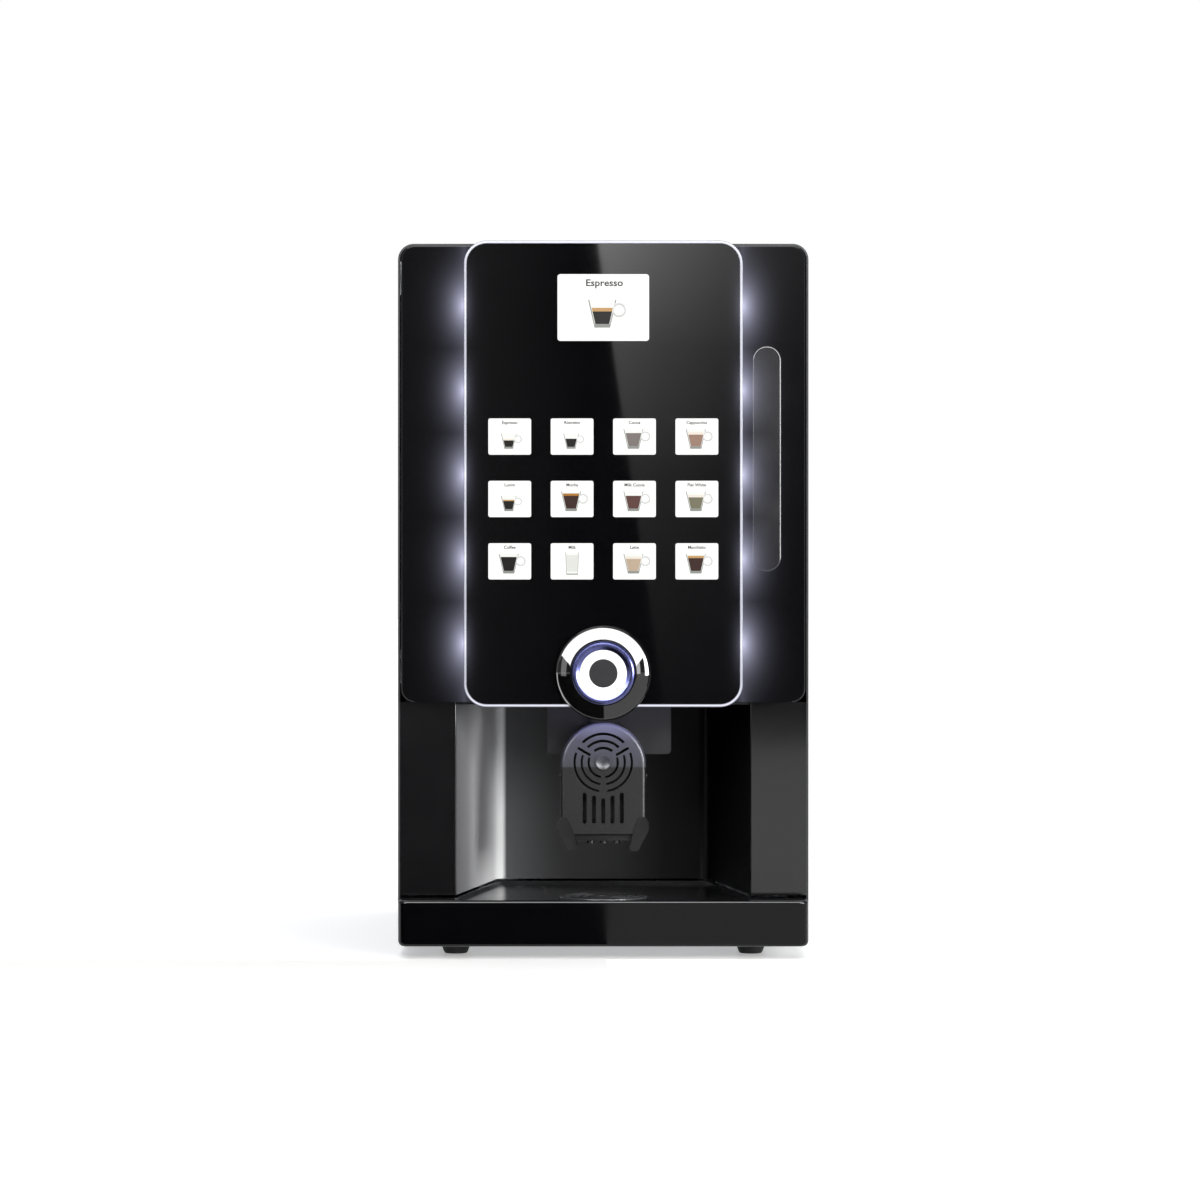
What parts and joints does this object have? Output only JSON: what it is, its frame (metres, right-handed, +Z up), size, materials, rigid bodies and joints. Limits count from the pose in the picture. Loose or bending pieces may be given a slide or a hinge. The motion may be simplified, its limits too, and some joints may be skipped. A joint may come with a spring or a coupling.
{
  "type": "hot drinks vending machine",
  "caption": "Table-top hot coffee vending machine with a lit glass front door, touch windows, a round start button, an adjustable spout over a cup niche and a pull-out drip tray.",
  "frame": {"origin": "bottom centre of the machine's bounding box, on the counter", "axes": "+Z up; the front faces -Y; +X is to the right of someone facing the front"},
  "size_m": [0.416, 0.56, 0.72],
  "materials": {
    "cabinet_paint": "satin black powder coat",
    "galvanised_steel": "galvanised sheet",
    "gloss_black": "high-gloss black moulding",
    "satin_black": "satin black moulding",
    "niche_plastic": "smooth dark grey moulding",
    "basin_plastic": "black moulding",
    "black_glass": "back-printed black glass",
    "lit_acrylic": "frosted acrylic, lit",
    "window_film": "lit smoked windows",
    "led_board": "white lamp board",
    "circuit_board": "green circuit board",
    "bezel_black": "polished black",
    "button_metal": "anodised blue grey",
    "button_light": "frosted diffuser, lit",
    "foot_rubber": "black rubber",
    "zinc_steel": "zinc-plated steel",
    "lock_chrome": "bright chrome",
    "nozzle_steel": "stainless steel",
    "inlet_plastic": "black moulding",
    "inlet_brass": "plain brass",
    "clear_plastic": "smoked clear plastic",
    "white_plastic": "white moulding",
    "dark_plastic": "black moulding",
    "motor_metal": "dark enamel",
    "burr_steel": "hardened steel",
    "boiler_steel": "stainless steel",
    "supply_box": "plain aluminium",
    "hose_silicone": "translucent silicone"
  },
  "bodies": {
    "cabinet": {"base_chassis": "galvanised_steel", "bean_hopper": "clear_plastic", "boiler": "boiler_steel", "brew_unit": "dark_plastic", "canister_lids": "dark_plastic", "canister_outlets": "white_plastic", "column_covers": "gloss_black", "door_hinge_brackets": "zinc_steel", "drink_hoses": "hose_silicone", "equipment_plate": "galvanised_steel", "fan_frame": "inlet_plastic", "gear_motors": "motor_metal", "grinder": "motor_metal", "grounds_bin": "dark_plastic", "hinge_pins": "zinc_steel", "inner_deck": "galvanised_steel", "lock_cylinder": "lock_chrome", "mixing_bowls": "white_plastic", "niche_liner": "niche_plastic", "outlet_housing": "satin_black", "panel_screws": "zinc_steel", "powder_canisters": "clear_plastic", "power_inlet": "inlet_plastic", "power_supply": "supply_box", "rear_panel": "cabinet_paint", "rubber_feet": "foot_rubber", "side_panel_left": "cabinet_paint", "side_panel_right": "cabinet_paint", "top_panel": "cabinet_paint", "water_inlet": "inlet_brass", "water_pump": "motor_metal"},
    "door": {"door_panel": "gloss_black", "door_frame": "satin_black", "door_inner_cover": "satin_black", "glass_panel": "black_glass", "light_guide": "lit_acrylic", "display_windows": "window_film", "led_strips": "led_board", "display_board": "circuit_board", "knob_bezel": "bezel_black", "door_grip": "gloss_black"},
    "button": {"start_button": "button_metal", "start_button_light": "button_light"},
    "lid": {"top_lid": "cabinet_paint"},
    "tray": {"base_fascia": "gloss_black", "tray_plate": "niche_plastic", "drip_basin": "basin_plastic"},
    "grille": {"cup_grille": "satin_black"},
    "spout": {"spout_cover": "satin_black", "spout_body": "satin_black", "outlet_nozzles": "nozzle_steel"},
    "cam": {"lock_cam": "zinc_steel"},
    "rocker": {"power_rocker": "inlet_plastic"},
    "milk_auger": {"auger_milk": "white_plastic"},
    "chocolate_auger": {"auger_chocolate": "white_plastic"},
    "milk_whisk": {"whisk_milk": "white_plastic"},
    "chocolate_whisk": {"whisk_chocolate": "white_plastic"},
    "burr": {"grinder_burr": "burr_steel"},
    "piston": {"brew_piston": "dark_plastic"},
    "rotor": {"fan_rotor": "inlet_plastic"}
  },
  "joints": [
    {"name": "door_hinge", "type": "hinge", "parent": "cabinet", "child": "door", "pos_m": [-0.19, -0.244, 0.485], "axis": [0, 0, -1], "range_deg": [0, 105]},
    {"name": "start_button", "type": "slide", "parent": "door", "child": "button", "axis": [0, 1, 0], "range_m": [0, 0.002], "stiffness_N_per_m": 400},
    {"name": "top_lid", "type": "hinge", "parent": "cabinet", "child": "lid", "pos_m": [0, 0.079, 0.716], "axis": [-1, 0, 0], "range_deg": [0, 80]},
    {"name": "tray_slide", "type": "slide", "parent": "cabinet", "child": "tray", "axis": [0, -1, 0], "range_m": [0, 0.13]},
    {"name": "grille_lift", "type": "slide", "parent": "tray", "child": "grille", "axis": [0, 0, 1], "range_m": [0, 0.03]},
    {"name": "spout_slide", "type": "slide", "parent": "cabinet", "child": "spout", "axis": [0, 0, 1], "range_m": [0, 0.06]},
    {"name": "lock_cam", "type": "hinge", "parent": "cabinet", "child": "cam", "pos_m": [0.184, -0.175, 0.482], "axis": [-1, 0, 0], "range_deg": [0, 90]},
    {"name": "power_rocker", "type": "hinge", "parent": "cabinet", "child": "rocker", "pos_m": [-0.115, 0.263, 0.062], "axis": [1, 0, 0], "range_deg": [-8, 8]},
    {"name": "milk_auger", "type": "hinge", "parent": "cabinet", "child": "milk_auger", "pos_m": [0.027, 0, 0.5335], "axis": [0, 1, 0], "continuous": true},
    {"name": "chocolate_auger", "type": "hinge", "parent": "cabinet", "child": "chocolate_auger", "pos_m": [0.139, 0, 0.5335], "axis": [0, 1, 0], "continuous": true},
    {"name": "milk_whisk", "type": "hinge", "parent": "cabinet", "child": "milk_whisk", "pos_m": [0.027, 0, 0.446], "axis": [0, 1, 0], "continuous": true},
    {"name": "chocolate_whisk", "type": "hinge", "parent": "cabinet", "child": "chocolate_whisk", "pos_m": [0.139, 0, 0.446], "axis": [0, 1, 0], "continuous": true},
    {"name": "grinder_burr", "type": "hinge", "parent": "cabinet", "child": "burr", "pos_m": [-0.132, -0.002, 0.53], "axis": [0, 0, 1], "continuous": true},
    {"name": "brew_piston", "type": "slide", "parent": "cabinet", "child": "piston", "axis": [0, 0, 1], "range_m": [0, 0.022]},
    {"name": "fan_rotor", "type": "hinge", "parent": "cabinet", "child": "rotor", "pos_m": [0.105, 0.252, 0.56], "axis": [0, 1, 0], "continuous": true}
  ]
}
